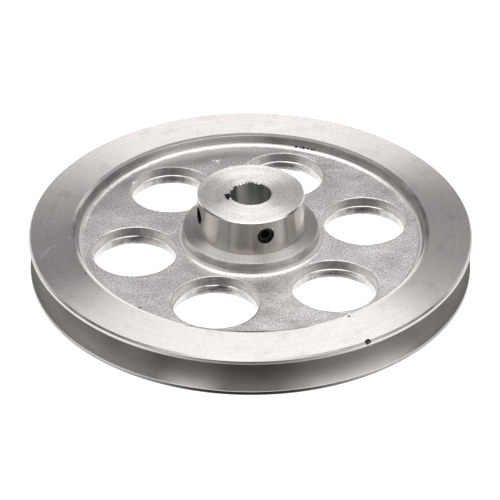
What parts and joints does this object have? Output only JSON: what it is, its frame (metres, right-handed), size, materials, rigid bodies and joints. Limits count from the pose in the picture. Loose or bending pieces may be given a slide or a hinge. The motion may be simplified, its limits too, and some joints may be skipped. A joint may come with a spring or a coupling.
{
  "type": "v belt pulley",
  "caption": "Single-groove V belt pulley: a cast aluminium rim, holed web and hub in one piece, bored and keyed for a shaft and locked by hexagon-socket set screws.",
  "frame": {"origin": "on the bore axis, level with the bottom faces of the rim and the hub", "axes": "+Z along the bore axis, from the flush side towards the hub's free end; -X through the keyway and the set screw over it; -Y through the other set screw"},
  "size_m": [0.2032, 0.2032, 0.0375],
  "materials": {
    "casting": "as-cast web with turned rim faces, groove, hub and bore",
    "set_screws": "black oxide"
  },
  "bodies": {
    "pulley": {"pulley_casting": "casting"},
    "front_screw": {"front_set_screw": "set_screws"},
    "key_screw": {"key_set_screw": "set_screws"}
  },
  "joints": [
    {"name": "front_screw_travel", "type": "slide", "parent": "pulley", "child": "front_screw", "axis": [0, -1, 0], "range_m": [-0.00423, 0.00564]},
    {"name": "key_screw_travel", "type": "slide", "parent": "pulley", "child": "key_screw", "axis": [-1, 0, 0], "range_m": [-0.00282, 0.00564]}
  ]
}
